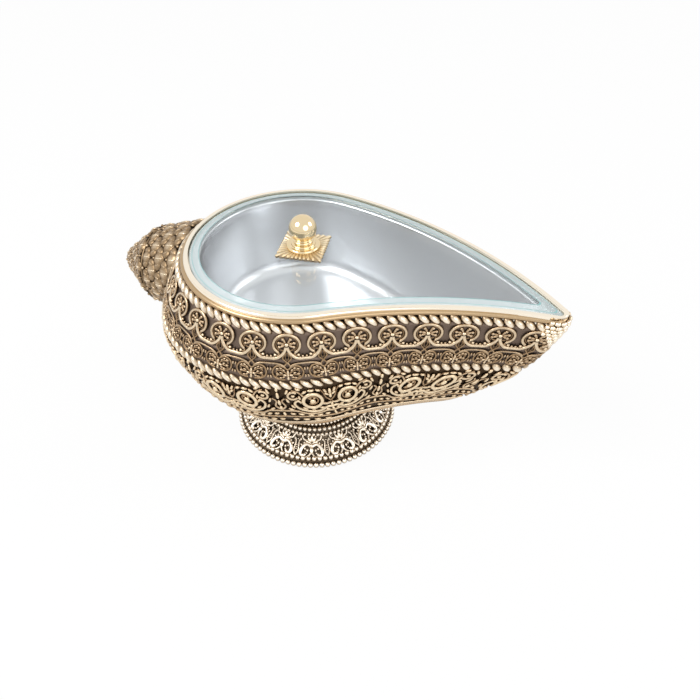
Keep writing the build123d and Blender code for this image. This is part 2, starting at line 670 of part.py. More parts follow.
SCREW_SEAT = GLASS_BOTTOM - GLASS_WASHER_THICKNESS
with BuildPart() as knob_screw:
    turned(KNOB_CENTRE, SCREW_SEAT - SCREW_HEAD_HEIGHT, SCREW_SEAT, SCREW_HEAD_RADIUS)
    fillet(knob_screw.edges().group_by(Axis.Z)[0], SCREW_HEAD_HEIGHT / 2)
    turned(KNOB_CENTRE, SCREW_SEAT, KNOB_BOTTOM + SCREW_BITE - SCREW_CLEARANCE, SCREW_RADIUS)
knob_screw.part.label = "knob_screw"
export_step(knob_screw.part, "parts/knob_screw.step")
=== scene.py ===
"""Picture model of a conch-shaped dry fruit box on a beaded foot.

Sizes are in millimetres until a piece is made.
"""

import math

import bmesh
import bpy
from mathutils import Matrix, Vector


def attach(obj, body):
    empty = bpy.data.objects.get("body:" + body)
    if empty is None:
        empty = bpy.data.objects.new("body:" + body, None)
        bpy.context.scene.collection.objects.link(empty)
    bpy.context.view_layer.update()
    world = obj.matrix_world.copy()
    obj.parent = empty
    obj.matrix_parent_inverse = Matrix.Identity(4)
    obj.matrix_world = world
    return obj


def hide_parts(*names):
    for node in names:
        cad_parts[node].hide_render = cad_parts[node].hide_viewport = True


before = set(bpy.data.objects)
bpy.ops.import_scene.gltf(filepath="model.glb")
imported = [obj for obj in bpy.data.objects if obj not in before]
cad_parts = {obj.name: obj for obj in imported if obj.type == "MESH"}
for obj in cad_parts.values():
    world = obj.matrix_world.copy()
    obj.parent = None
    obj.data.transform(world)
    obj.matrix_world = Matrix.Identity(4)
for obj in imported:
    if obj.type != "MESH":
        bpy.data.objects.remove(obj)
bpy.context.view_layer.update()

# The hull: a thin shell of cast metal, pointed at one end and bolted down on its foot. Its outline is four
# arcs that meet at tangents at every height. The ornament is laid out flat and wrapped on it.
MM = 0.001
ROUND_RADIUS = 64.0
ROUND_CENTRE = (-9.0, 2.0)
TIP_CENTRE = (139.0, 11.0)
TIP_RADIUS = 5.0
LEAST_TIP_RADIUS = 2.0
BOWED_RADIUS = 260.0
HOLLOW_RADIUS = 250.0
RIM_TOP = 128.0
HULL_LEVELS = [
    (48.0, -3.0, 2.0, 58.0, 6.0),
    (55.0, 3.0, 0.0, 48.0, 5.0),
    (67.0, 8.0, -4.0, 36.0, 4.0),
    (85.0, 12.0, -6.0, 19.0, 2.0),
    (104.0, 8.0, -4.0, 8.0, 1.0),
    (RIM_TOP, 0.0, 0.0, 0.0, 0.0),
]
arcs_made = {}


def level_at(z):
    """Swell, slide, draw-back and drop of the hull at a height, along smooth curves through its levels."""
    z = min(max(z, HULL_LEVELS[0][0]), HULL_LEVELS[-1][0])
    at = max(i for i, level in enumerate(HULL_LEVELS[:-1]) if level[0] <= z)
    rows = [HULL_LEVELS[max(0, min(len(HULL_LEVELS) - 1, at + k))] for k in (-1, 0, 1, 2)]
    before, low, high, after = rows
    span = high[0] - low[0]
    share = (z - low[0]) / span
    values = []
    for k in range(1, 5):
        slope_low = (high[k] - before[k]) / (high[0] - before[0]) * span
        slope_high = (after[k] - low[k]) / (after[0] - low[0]) * span
        values.append(
            (2 * share**3 - 3 * share**2 + 1) * low[k]
            + (share**3 - 2 * share**2 + share) * slope_low
            + (3 * share**2 - 2 * share**3) * high[k]
            + (share**3 - share**2) * slope_high
        )
    return values


def third_corner(a, b, from_a, from_b):
    """The place at given distances from a and b, to the right of the way from a to b."""
    span = math.dist(a, b)
    along = (from_a**2 - from_b**2 + span**2) / (2 * span)
    away = math.sqrt(from_a**2 - along**2)
    ux, uy = (b[0] - a[0]) / span, (b[1] - a[1]) / span
    return (a[0] + along * ux + away * uy, a[1] + along * uy - away * ux)


def outline_arcs(z, grow=0.0, draw_more=0.0):
    """The outline at a height as four arcs, each with its centre, radius, first angle and turn."""
    key = (round(z, 2), grow, draw_more)
    if key in arcs_made:
        return arcs_made[key]
    swell, slide, draw_back, drop = level_at(z)
    round_centre = (ROUND_CENTRE[0] + slide, ROUND_CENTRE[1])
    tip = (TIP_CENTRE[0] - draw_back - draw_more, TIP_CENTRE[1] - drop)
    round_r = ROUND_RADIUS + swell
    bowed = third_corner(round_centre, tip, BOWED_RADIUS - round_r, BOWED_RADIUS - TIP_RADIUS)
    hollow = third_corner(round_centre, tip, HOLLOW_RADIUS + round_r, HOLLOW_RADIUS + TIP_RADIUS)
    tip_r = max(TIP_RADIUS + grow, LEAST_TIP_RADIUS)
    tip = third_corner(hollow, bowed, HOLLOW_RADIUS - grow + tip_r, BOWED_RADIUS + grow - tip_r)

    def angle(a, b):
        return math.atan2(b[1] - a[1], b[0] - a[0])

    meet = [angle(round_centre, hollow), angle(bowed, round_centre), angle(bowed, tip), angle(tip, hollow)]
    back = meet[3] + math.pi
    arcs = [
        (round_centre, round_r + grow, meet[0], -((meet[0] - meet[1]) % math.tau)),
        (bowed, BOWED_RADIUS + grow, meet[1], -((meet[1] - meet[2]) % math.tau)),
        (tip, tip_r, meet[2], -((meet[2] - meet[3]) % math.tau)),
        (hollow, HOLLOW_RADIUS - grow, back, (angle(hollow, round_centre) - back) % math.tau),
    ]
    arcs_made[key] = arcs
    return arcs


def outline_length(z):
    """How long the hull's outline is at a height."""
    return sum(radius * abs(turn) for _, radius, _, turn in outline_arcs(z))


def along_outline(z, distance):
    """Which arc a distance along the outline falls on, and how far along that arc, from 0 to 1."""
    distance %= outline_length(z)
    for number, (_, radius, _, turn) in enumerate(outline_arcs(z)):
        length = radius * abs(turn)
        if distance <= length:
            return number, distance / length
        distance -= length
    return 3, 1.0


def hull_point(number, share, z, grow=0.0, draw_more=0.0):
    centre, radius, first, turn = outline_arcs(z, grow, draw_more)[number]
    angle = first + turn * share
    return Vector((centre[0] + radius * math.cos(angle), centre[1] + radius * math.sin(angle), z))


def on_hull(seam):
    """A place on the hull for a flat layout: x runs round it to the right, y is the height."""

    def place(x, y):
        number, share = along_outline(seam, -x)
        point = hull_point(number, share, y)
        _, _, first, turn = outline_arcs(y)[number]
        angle = first + turn * share
        outward = Vector((math.cos(angle), math.sin(angle), 0)) * (-1 if number == 3 else 1)
        lean = (hull_point(number, share, y + 0.5) - hull_point(number, share, y - 0.5)).dot(outward)
        return point, (outward - Vector((0, 0, lean))).normalized()

    return place


class Shade:
    """A shader socket that takes part in sums: an expression on it adds its Math nodes."""

    def __init__(self, tree, socket):
        self.tree, self.socket = tree, socket

    def maths(self, operation, *values):
        node = self.tree.nodes.new("ShaderNodeMath")
        node.operation = operation
        for slot, value in zip(node.inputs, values):
            if isinstance(value, Shade):
                self.tree.links.new(value.socket, slot)
            else:
                slot.default_value = value
        return Shade(self.tree, node.outputs[0])

    def __add__(self, other):
        return self.maths("ADD", self, other)

    def __mul__(self, other):
        return self.maths("MULTIPLY", self, other)

    def __sub__(self, other):
        return self.maths("SUBTRACT", self, other)

    def __rsub__(self, other):
        return self.maths("SUBTRACT", other, self)

    def above(self, low, high):
        """0 below low and 1 above high, with a straight way between."""
        share = self.maths("DIVIDE", self - low, high - low)
        return self.maths("MINIMUM", self.maths("MAXIMUM", share, 0.0), 1.0)


class Finish:
    """A material with one Principled shader."""

    def __init__(self, name, colour, metallic=1.0, roughness=0.3, **constants):
        self.material = bpy.data.materials.new(name)
        self.material.use_nodes = True
        self.tree = self.material.node_tree
        self.shader = self.tree.nodes["Principled BSDF"]
        self.set("Base Color", (*colour, 1.0))
        self.set("Metallic", metallic)
        self.set("Roughness", roughness)
        for socket, value in constants.items():
            self.set(socket.replace("_", " ").title().replace("Ior", "IOR"), value)
        self.material.diffuse_color = (*colour, 1.0)

    def set(self, socket, value):
        if isinstance(value, Shade):
            self.tree.links.new(value.socket, self.shader.inputs[socket])
        else:
            self.shader.inputs[socket].default_value = value

    def node(self, kind, settings=(), output=0, **inputs):
        """Any other node: its settings first, then the values or links of its sockets."""
        node = self.tree.nodes.new(kind)
        for name, value in dict(settings).items():
            if name == "stops":
                for stop, (position, colour) in zip(self.stops(node, len(value)), value):
                    stop.position, stop.color = position, (*colour, 1.0)
            else:
                setattr(node, name, value)
        for name, value in inputs.items():
            slot = node.inputs[name.replace("_", " ")]
            if isinstance(value, Shade):
                self.tree.links.new(value.socket, slot)
            else:
                slot.default_value = value
        return Shade(self.tree, node.outputs[output])

    def stops(self, node, count):
        stops = node.color_ramp.elements
        while len(stops) < count:
            stops.new(1.0)
        return stops


def dress(node, material):
    """Gives a solid of the frame its finish."""
    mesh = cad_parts[node].data
    mesh.materials.clear()
    mesh.materials.append(material)


ground_metal = Finish("ground of the cast bands", (0.17, 0.125, 0.098), roughness=0.5).material
dress("body_shell", ground_metal)

# The rim: a bright plated band with a rolled top edge, soldered round the hull's mouth.
# Its inside is stepped, and the glass lies in the step.
rim_metal = Finish("bright champagne rim", (0.93, 0.84, 0.70), roughness=0.14).material
dress("rim_band", rim_metal)
ROLL_RADIUS = 1.25
ROLL_PROUD = 0.05
HOOP_STEPS = 320


def made(name, mesh, material, body="box", smooth=True, stands_for=(), finish_slot="cast_metal"):
    """Turns a finished bmesh in millimetres into a piece that rides on a body."""
    bmesh.ops.scale(mesh, vec=(MM, MM, MM), verts=mesh.verts)
    data = bpy.data.meshes.new(name)
    mesh.to_mesh(data)
    mesh.free()
    data.materials.append(material)
    for face in data.polygons:
        face.use_smooth = smooth
    piece = bpy.data.objects.new(name, data)
    bpy.context.collection.objects.link(piece)
    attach(piece, body)
    if stands_for:
        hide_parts(*stands_for)
    return piece


def lift_layer(mesh):
    """Where each point keeps how far it stands out, which tells the finish how dark to paint it with wax and
    painted shade, and how bright with painted highlight.
    """
    return mesh.verts.layers.float.get("lift") or mesh.verts.layers.float.new("lift")


def lay(mesh, place, keep_lift=True):
    """Wraps a flat layout on a surface: x and y find the place, z stands out from it."""
    layer = lift_layer(mesh)
    for vertex in mesh.verts:
        x, y, out = vertex.co
        if keep_lift:
            vertex[layer] = out
        point, outward = place(x, y)
        vertex.co = point + outward * out


def wires(mesh, paths, sides=1):
    """Round wires through points of x, y, out and radius."""
    curve = bpy.data.curves.new("wire", "CURVE")
    curve.dimensions = "3D"
    curve.bevel_depth = 1.0
    curve.bevel_resolution = sides
    curve.use_fill_caps = True
    for path in paths:
        spline = curve.splines.new("POLY")
        spline.points.add(len(path) - 1)
        for point, (x, y, out, radius) in zip(spline.points, path):
            point.co = (x, y, out, 1.0)
            point.radius = radius
    carrier = bpy.data.objects.new("wire", curve)
    bpy.context.collection.objects.link(carrier)
    ready = carrier.evaluated_get(bpy.context.evaluated_depsgraph_get())
    made_mesh = bpy.data.meshes.new_from_object(ready)
    mesh.from_mesh(made_mesh)
    bpy.data.objects.remove(carrier)
    bpy.data.curves.remove(curve)
    bpy.data.meshes.remove(made_mesh)


def hoop(mesh, seam, height, out, radius, sides=1):
    """A round moulding that runs once round the hull."""
    step = -outline_length(seam) / HOOP_STEPS
    wires(mesh, [[(step * k, height, out, radius) for k in range(HOOP_STEPS + 1)]], sides)


rim_roll = bmesh.new()
hoop(rim_roll, RIM_TOP, RIM_TOP - ROLL_RADIUS, ROLL_PROUD - ROLL_RADIUS, ROLL_RADIUS, sides=3)
lay(rim_roll, on_hull(RIM_TOP))
made("rim_roll", rim_roll, rim_metal, finish_slot="rim_metal")

# Two twisted ropes of cast metal, one under the rim and one at the belly. Each strand is a slanted lens.
# They are soldered on. Between the rim and the upper one the hull shows as a cove coloured gold-brown,
# painted shade under the rim.
ROPE_RADIUS = 2.5
UPPER_ROPE_Z = 121.2
LOWER_ROPE_Z = 89.0
STRAND_SLANT = math.radians(-38)
STRAND_HALF_LENGTH = 4.5
STRAND_HALF_WIDTH = 1.95
STRAND_PITCH = 5.45
COVE_RISE = 3.6
COVE_RADIUS = 1.5
COVE_OUT = -0.4
# The dark end of the painted colour ramps: wax, and painted shade in the hollows.
CAST_WAX_AND_SHADE = (0.030, 0.018, 0.009)
WAX_ROUGHNESS = 0.52
MOTTLE_SCALE = 900.0


def antique_with_painted_light(name, dark, middle, bright, low, high, grime=0.18, roughness=0.3):
    """Plated metal with wax and painted shade in its hollows and a painted highlight on its tops: the colour
    follows how far the relief stands out.
    """
    finish = Finish(name, middle, roughness=roughness)
    lift = finish.node("ShaderNodeAttribute", {"attribute_name": "lift"}, output=2)
    spot = finish.node("ShaderNodeTexCoord", output=3)
    mottle = finish.node("ShaderNodeTexNoise", Vector=spot, Scale=MOTTLE_SCALE, Detail=3.0)
    # Painted light: low relief is painted dark as wax and painted shade, high relief bright as painted
    # highlight; the noise adds a random mottle.
    level = lift.above(low, high) + (mottle - 0.5) * grime * 2
    dim = [(d + m) / 2 for d, m in zip(dark, middle)]
    stops = [(0.0, dark), (0.28, dim), (0.6, middle), (1.0, bright)]
    finish.set("Base Color", finish.node("ShaderNodeValToRGB", {"stops": stops}, Fac=level))
    finish.set("Roughness", WAX_ROUGHNESS - level.above(0.0, 1.0) * (WAX_ROUGHNESS - roughness))
    return finish.material


# The ropes and tip beads are painted darker down each strand's sides as painted shade and brightest on its
# crest as painted highlight.
rope_middle, rope_highlight = (0.50, 0.38, 0.25), (0.93, 0.82, 0.66)
rope_metal = antique_with_painted_light("antique champagne rope", CAST_WAX_AND_SHADE, rope_middle, rope_highlight, 0.2, 2.4, roughness=0.2)
# Gold-brown painted shade for the cove under the rim.
cove_painted_shade = Finish("gold-brown painted shade under the rim", (0.50, 0.36, 0.21), roughness=0.3).material


def repeat(mesh, count, pitch):
    """Copies a flat motif side by side."""
    motif = mesh.verts[:] + mesh.edges[:] + mesh.faces[:]
    for number in range(1, count):
        copy = bmesh.ops.duplicate(mesh, geom=motif)["geom"]
        moved = [part for part in copy if isinstance(part, bmesh.types.BMVert)]
        bmesh.ops.translate(mesh, verts=moved, vec=(number * pitch, 0, 0))


def drop(mesh, x, y, out, size, turn=0.0, steps=8):
    """A cast bead or petal: a ball of three sizes, turned in the flat."""
    place = Matrix.Translation((x, y, out)) @ Matrix.Rotation(turn, 4, "Z") @ Matrix.Diagonal((*size, 1.0))
    rows = max(5, steps * 3 // 4)
    bmesh.ops.create_uvsphere(mesh, u_segments=steps, v_segments=rows, radius=1.0, matrix=place)


def rope(name, z):
    """One rope round the hull at a height."""
    length = outline_length(z)
    count = round(length / STRAND_PITCH)
    strands = bmesh.new()
    size = (STRAND_HALF_LENGTH, STRAND_HALF_WIDTH, ROPE_RADIUS)
    drop(strands, 0, z, 0.0, size, turn=STRAND_SLANT, steps=14)
    repeat(strands, count, length / count)
    lay(strands, on_hull(z))
    made(name, strands, rope_metal, stands_for=[name])


rope("upper_rope", UPPER_ROPE_Z)
cove = bmesh.new()
hoop(cove, RIM_TOP, UPPER_ROPE_Z + COVE_RISE, COVE_OUT, COVE_RADIUS, sides=2)
lay(cove, on_hull(RIM_TOP))
made("rim_cove", cove, cove_painted_shade)
rope("lower_rope", LOWER_ROPE_Z)

# The rosette band: cast in relief, with horseshoe arches, a flower in each, pendants below and a garland
# between them. Wax and painted shade darken the casting's hollows, a painted highlight brightens its tops,
# and its ground is dark brown.
ROSETTE_Z = 113.4
SEAM_Z = 105.0
ROSETTES = 31
arch_half = outline_length(SEAM_Z) / ROSETTES / 2
CAST_MIDDLE = (0.34, 0.225, 0.125)
CAST_HIGHLIGHT = (0.84, 0.69, 0.49)
GROUND_HEIGHT = 0.7
GROUND_COLUMNS = 420
GROUND_ROWS = 6
ROPE_COVER = 1.5
RELIEF_SHARE = 0.85
# The casting is painted darker where its relief is low, as wax and painted shade, and brighter on its tops as
# painted highlight.
cast_metal = antique_with_painted_light(
    "antique champagne casting", CAST_WAX_AND_SHADE, CAST_MIDDLE, CAST_HIGHLIGHT, 0.35, 2.25, roughness=0.24
)


def arc(centre, radius, first, last, thick=0.7, out=0.9, steps=14, squash=1.0, taper=0.0):
    """Points of a wire on an arc; its far end may taper."""
    points = []
    for step in range(steps + 1):
        share = step / steps
        angle = math.radians(first + (last - first) * share)
        x = centre[0] + radius * math.cos(angle)
        y = centre[1] + radius * squash * math.sin(angle)
        points.append((x, y, out, thick * (1 - taper * share)))
    return points


def curl(points, thick=0.7, out=0.9, steps=4, taper=0.4):
    """Points of a smooth wire through a few given places."""
    ends = [points[0], *points, points[-1]]
    path = []
    for at in range(1, len(ends) - 2):
        a, b, c, d = (Vector(ends[at + k]) for k in (-1, 0, 1, 2))
        for step in range(steps):
            t = step / steps
            place = 2 * b + (c - a) * t + (2 * a - 5 * b + 4 * c - d) * t**2
            place += (3 * b - a - 3 * c + d) * t**3
            path.append(place / 2)
    path.append(Vector(points[-1]))
    return [(p.x, p.y, out, thick * (1 - taper * i / len(path))) for i, p in enumerate(path)]


def mirrored(paths):
    """The paths and their twins across x = 0."""
    return paths + [[(-x, y, out, radius) for x, y, out, radius in path] for path in paths]


def raised(mesh):
    """Sets a flat layout on the band's ground."""
    layer = lift_layer(mesh)
    for vertex in mesh.verts:
        vertex[layer] = vertex.co.z
        vertex.co.z = GROUND_HEIGHT + vertex.co.z * RELIEF_SHARE


def cast_band(name, motif, count, seam, node, metal=cast_metal):
    """A band of cast relief: one motif side by side round the hull, in place of the solid's band."""
    relief = bmesh.new()
    motif(relief)
    repeat(relief, count, outline_length(seam) / count)
    raised(relief)
    lay(relief, on_hull(seam), keep_lift=False)
    made(name, relief, metal, stands_for=[node])


def band_ground(name, low, high, seam, material=ground_metal):
    """The flat ground of a cast band: a thin sheet with its edges turned in to the hull."""
    length = outline_length(seam)
    strip = bmesh.new()
    bmesh.ops.create_grid(strip, x_segments=GROUND_COLUMNS, y_segments=GROUND_ROWS, size=0.5)
    bmesh.ops.scale(strip, vec=(length, high - low, 1.0), verts=strip.verts)
    bmesh.ops.translate(strip, verts=strip.verts, vec=(-length / 2, (low + high) / 2, GROUND_HEIGHT))
    rows = [edge for edge in strip.edges if edge.is_boundary]
    edges = [edge for edge in rows if abs(edge.verts[0].co.y - edge.verts[1].co.y) < 0.01]
    hems = bmesh.ops.extrude_edge_only(strip, edges=edges)["geom"]
    hem_points = [part for part in hems if isinstance(part, bmesh.types.BMVert)]
    bmesh.ops.translate(strip, verts=hem_points, vec=(0, 0, -GROUND_HEIGHT))
    lay(strip, on_hull(seam))
    bmesh.ops.remove_doubles(strip, verts=strip.verts, dist=0.001)
    bmesh.ops.recalc_face_normals(strip, faces=strip.faces)
    made(name, strip, material)


def rosette_motif(mesh):
    """One arch with its flower, and half a garland on each side."""
    z = ROSETTE_Z
    paths = mirrored([
        arc((0, z), 7.0, 90, -52, thick=0.85, out=1.2, steps=16, squash=0.78),
        arc((0, z), 5.7, 90, -46, thick=0.4, out=0.8, steps=12, squash=0.78),
        curl([(4.3, z - 4.3), (4.0, z - 5.4), (4.8, z - 6.1), (5.8, z - 5.6)], thick=0.65, out=1.1),
        curl([(0.4, z - 1.2), (1.0, z - 3.4), (2.8, z - 5.8), (5.4, z - 7.5), (arch_half + 0.1, z - 7.6)],
             thick=1.05, out=1.2, taper=0.05),
        curl([(0.6, z - 2.6), (1.9, z - 3.2), (3.4, z - 2.8)], thick=0.55, out=1.0),
        curl([(0.3, z - 4.6), (1.9, z - 6.6), (2.1, z - 8.0), (0.9, z - 9.4), (0.0, z - 10.4)],
             thick=0.5, out=1.0, taper=0.1),
        curl([(0.3, z - 4.6), (0.9, z - 7.0), (0.3, z - 9.0)], thick=0.3, out=0.9, taper=0.1),
    ])
    wires(mesh, paths)
    for angle in (60, 120, 14, 166, -24, 204):
        way = math.radians(angle)
        drop(mesh, 2.5 * math.cos(way), z + 2.1 * math.sin(way), 0.9, (1.8, 0.75, 0.9), turn=way)
        drop(mesh, 4.2 * math.cos(way), z + 3.3 * math.sin(way), 0.9, (1.05, 0.95, 1.05), steps=7)
    drop(mesh, 0, z, 1.3, (1.25, 1.1, 1.2))
    for side in (-1, 1):
        drop(mesh, side * 6.0, z - 5.6, 1.2, (0.95, 0.9, 1.1), steps=7)
        drop(mesh, side * (arch_half - 1.0), z - 6.4, 1.1, (0.75, 0.75, 0.9), steps=6)
        drop(mesh, side * 6.7, z - 7.6, 1.0, (0.6, 1.35, 1.3), steps=6)


cast_band("rosette_band", rosette_motif, ROSETTES, SEAM_Z, "rosette_strip")
band_ground("rosette_ground", SEAM_Z, UPPER_ROPE_Z - ROPE_COVER, SEAM_Z)

# The lace band: cast in the same way, with flat scalloped arcs that meet at small lozenges and a bouquet
# hung under each. It keeps the count of the band above it.
LACE_TOP_Z = 102.6
LACE_LEAVES = (
    (2.0, -3.7, 50), (3.4, -2.6, 30), (5.2, -2.9, -20), (3.3, -5.3, 15), (5.1, -5.9, 0),
    (2.2, -7.8, -35), (3.6, -8.2, -10), (8.4, -3.2, 90), (8.4, -7.6, 80),
)


def lace_motif(mesh):
    """One lozenge with half a scallop on each side, and its bouquet."""
    z = LACE_TOP_Z
    paths = mirrored([
        curl([(1.3, z - 2.0), (2.6, z - 0.8), (5.2, z + 0.1), (arch_half + 0.1, z + 0.3)],
             thick=0.6, out=1.2, taper=0.0),
        curl([(0.0, z + 0.6), (1.7, z - 1.8), (0.0, z - 3.6)], thick=0.5, out=1.1, taper=0.0),
        curl([(1.6, z - 2.2), (4.0, z - 1.2), (6.4, z - 2.2), (7.6, z - 4.8), (6.8, z - 7.6), (4.4, z - 9.2),
              (1.6, z - 9.4)], thick=0.6, out=1.0, taper=0.1),
        curl([(0.3, z - 6.4), (2.0, z - 4.6), (4.2, z - 3.6), (5.8, z - 4.4), (5.0, z - 5.4)],
             thick=0.5, out=1.1),
        curl([(0.3, z - 6.6), (2.6, z - 6.4), (4.8, z - 6.6), (6.0, z - 7.6), (4.8, z - 8.2)],
             thick=0.5, out=1.1),
    ])
    wires(mesh, paths)
    for side in (-1, 1):
        for x, y, turn in LACE_LEAVES:
            drop(mesh, side * x, z + y, 1.0, (1.15, 0.6, 0.9), turn=side * math.radians(turn), steps=6)
    for x, y, reach in ((0, -5.0, 1.5), (0, -6.6, 1.2), (0, -8.4, 1.4)):
        drop(mesh, x, z + y, 1.1, (0.8, reach, 1.1), steps=6)
    for x in (-1.5, 1.5):
        drop(mesh, x, z - 6.5, 1.2, (1.2, 0.7, 1.0), steps=6)


cast_band("lace_band", lace_motif, ROSETTES, SEAM_Z, "lace_strip")
band_ground("lace_ground", LOWER_ROPE_Z + ROPE_COVER, SEAM_Z, SEAM_Z)

# The scroll band under the belly: a darker casting, with pairs of oval rings round a bud and leaf sprigs and
# volutes between them. Its ground is near black: painted shade under the dense wires.
SCROLL_Z = 76.5
SCROLL_FOOT_Z = 52.0
RING_PAIRS = 10
SPRIG_LEAVES = (
    (1.7, 4.2, 40, 1.9), (2.4, 6.8, 60, 1.9), (6.0, 8.2, 20, 1.7), (9.8, 8.6, 0, 2.2), (13.4, 7.8, -30, 1.9),
    (16.2, 3.8, 80, 1.8), (19.4, 5.6, 0, 1.3), (16.4, 10.2, 20, 1.7), (22.6, 1.8, 70, 2.2),
    (22.4, 8.6, 120, 2.0), (20.6, -3.8, 60, 2.0), (22.2, -6.4, 30, 1.9), (5.8, -7.6, 10, 1.7),
    (10.2, -7.6, -10, 1.8), (14.6, -6.4, 35, 2.0), (3.0, -10.0, 30, 1.7), (9.0, -14.4, 0, 2.0),
    (13.6, -13.6, 10, 1.9), (18.4, -12.0, 20, 2.0), (4.6, -14.2, 0, 1.8), (22.8, -11.2, 10, 1.8),
    (6.0, -19.0, 5, 2.2), (12.0, -18.2, 5, 2.2), (18.0, -17.4, 5, 2.2), (23.4, -16.6, 5, 2.0),
)
scroll_half = outline_length(SCROLL_Z) / RING_PAIRS / 2
# The scrollwork is painted darker where its relief is low, as wax and painted shade, and brighter on its tops
# as painted highlight.
scroll_middle, scroll_highlight = (0.34, 0.215, 0.115), (0.86, 0.70, 0.48)
scroll_metal = antique_with_painted_light("dark antique scrollwork", CAST_WAX_AND_SHADE, scroll_middle, scroll_highlight, 0.2, 2.2)


def scroll_motif(mesh):
    """Two rings with a bud between them, and their sprigs."""
    z, far = SCROLL_Z, scroll_half
    paths = mirrored([
        arc((9.7, z), 5.0, 0, 360, thick=1.15, out=1.5, steps=24, squash=1.2),
        arc((9.7, z), 2.9, 40, 320, thick=0.55, out=1.0, steps=14, squash=1.2),
        curl([(4.9, z - 3.6), (2.6, z - 4.6), (0.0, z - 3.6)], thick=0.9, out=1.3, taper=0.1),
        curl([(0.0, z - 8.0), (3.0, z - 7.6), (7.0, z - 10.0), (12.0, z - 9.8), (17.6, z - 6.0),
              (19.4, z - 1.0), (17.4, z + 1.6), (15.8, z - 0.4)], thick=1.0, out=1.4, taper=0.2),
        curl([(0.0, z - 12.4), (4.0, z - 11.4), (9.0, z - 12.6), (15.0, z - 11.8), (20.0, z - 8.6),
              (far, z - 8.0)], thick=0.8, out=1.2, taper=0.1),
        curl([(0.0, z - 17.0), (8.0, z - 16.2), (16.0, z - 15.0), (far, z - 13.8)],
             thick=0.7, out=1.1, taper=0.1),
        arc((19.4, z + 5.6), 2.7, -150, 130, thick=0.8, out=1.3, steps=14),
        curl([(14.2, z + 4.6), (16.4, z + 8.0), (19.8, z + 9.6)], thick=0.7, out=1.2),
        curl([(far, z - 6.6), (far - 2.6, z - 3.4), (far - 1.4, z + 1.2), (far - 3.4, z + 3.6)],
             thick=0.8, out=1.2),
        curl([(0.0, z - 2.4), (2.4, z + 1.0), (3.4, z + 5.0), (5.0, z + 8.6)], thick=0.6, out=1.0),
    ])
    wires(mesh, paths)
    for side in (-1, 1):
        drop(mesh, side * 9.7, z, 1.6, (1.7, 1.9, 1.4))
        for angle in (-60, 60, 120, 240):
            way = math.radians(angle)
            x, y = side * 9.7 + 2.1 * math.cos(way), z + 2.4 * math.sin(way)
            drop(mesh, x, y, 1.0, (0.9, 0.9, 0.9), steps=6)
        for x, y, turn, reach in SPRIG_LEAVES:
            drop(mesh, side * x, z + y, 1.15, (reach, 0.85, 1.15), turn=math.radians(turn) * side, steps=7)
    buds = (
        (0, 6.0, 2.4), (0, 2.4, 1.9), (0, -5.8, 1.6), (0, -10.2, 1.7), (0, -14.6, 2.0),
        (far, 6.0, 2.6), (far, 0.0, 2.6), (far, 10.4, 1.6), (far, -4.6, 1.6), (far, -11.0, 1.6),
    )
    for x, y, reach in buds:
        drop(mesh, x, z + y, 1.3, (1.0, reach, 1.3), steps=7)


cast_band("scroll_band", scroll_motif, RING_PAIRS, SCROLL_Z, "scroll_strip", scroll_metal)
# Near-black painted shade for the scroll band's ground and the spire's cone and collar.
deep_painted_shade = Finish("near-black painted shade in the deep hollows", (0.055, 0.035, 0.02), roughness=0.5).material
band_ground("scroll_ground", SCROLL_FOOT_Z, LOWER_ROPE_Z - ROPE_COVER, SCROLL_Z, deep_painted_shade)

# The cap on the point: a small casting of bead rows that closes the bands under the tip of the rim.
# Each row is a height, a number of beads and how far they stand out.
TIP_ROWS = (
    (125.6, 7, 1.8), (123.2, 8, 2.4), (120.8, 7, 2.6), (118.4, 8, 2.4),
    (116.0, 5, 2.2), (113.6, 4, 1.9), (111.2, 3, 1.6), (108.8, 2, 1.3),
)
TIP_BEAD_PITCH = 2.4
TIP_BEAD_SIZE = (1.3, 1.25, 1.15)
tip_lengths = [radius * abs(turn) for _, radius, _, turn in outline_arcs(SEAM_Z)[:3]]
tip_x = -sum(tip_lengths[:2]) - tip_lengths[2] / 2
beads = bmesh.new()
for height, count, out in TIP_ROWS:
    for number in range(count):
        x = tip_x + (number - (count - 1) / 2) * TIP_BEAD_PITCH
        drop(beads, x, height, out, TIP_BEAD_SIZE, steps=8)
lay(beads, on_hull(SEAM_Z))
made("tip_beads", beads, rope_metal, stands_for=["tip_cap"])

# The plain ring round the hull's bottom edge: a smooth plated moulding. Two thin round ones run above it,
# where the scroll band ends.
ring_metal = Finish("worn champagne moulding", (0.62, 0.49, 0.34), roughness=0.3).material
dress("belly_ring", ring_metal)
EDGE_RING_RADIUS = 0.8
edge_rings = bmesh.new()
for height, out in ((54.4, 1.0), (52.4, 1.1)):
    hoop(edge_rings, SCROLL_FOOT_Z, height, out, EDGE_RING_RADIUS)
lay(edge_rings, on_hull(SCROLL_FOOT_Z))
made("edge_rings", edge_rings, ring_metal)

# The spire at the round end: a casting with a cone of lapped petals on a shoulder of broad leaves, and a
# round nose. The frame's own cone and collar show between the petals in near-black painted shade.
SPIRE_APEX = Vector((-142.6, 0.0, 79.0))
SPIRE_TILT = math.radians(9.0)
SPIRE_LENGTH = 33.0
SPIRE_BASE_RADIUS = 24.6
SPIRE_NOSE_RADIUS = 3.4
COLLAR_LENGTH = 40.0
COLLAR_WAIST_RADIUS = 23.6
COLLAR_ROOT_RADIUS = 31.0
COLLAR_LEAN = 0.2
COLLAR_FLARE = 1.25
SPIRE_WAY = Vector((math.cos(SPIRE_TILT), 0.0, math.sin(SPIRE_TILT)))
SPIRE_UP = Vector((-math.sin(SPIRE_TILT), 0.0, math.cos(SPIRE_TILT)))


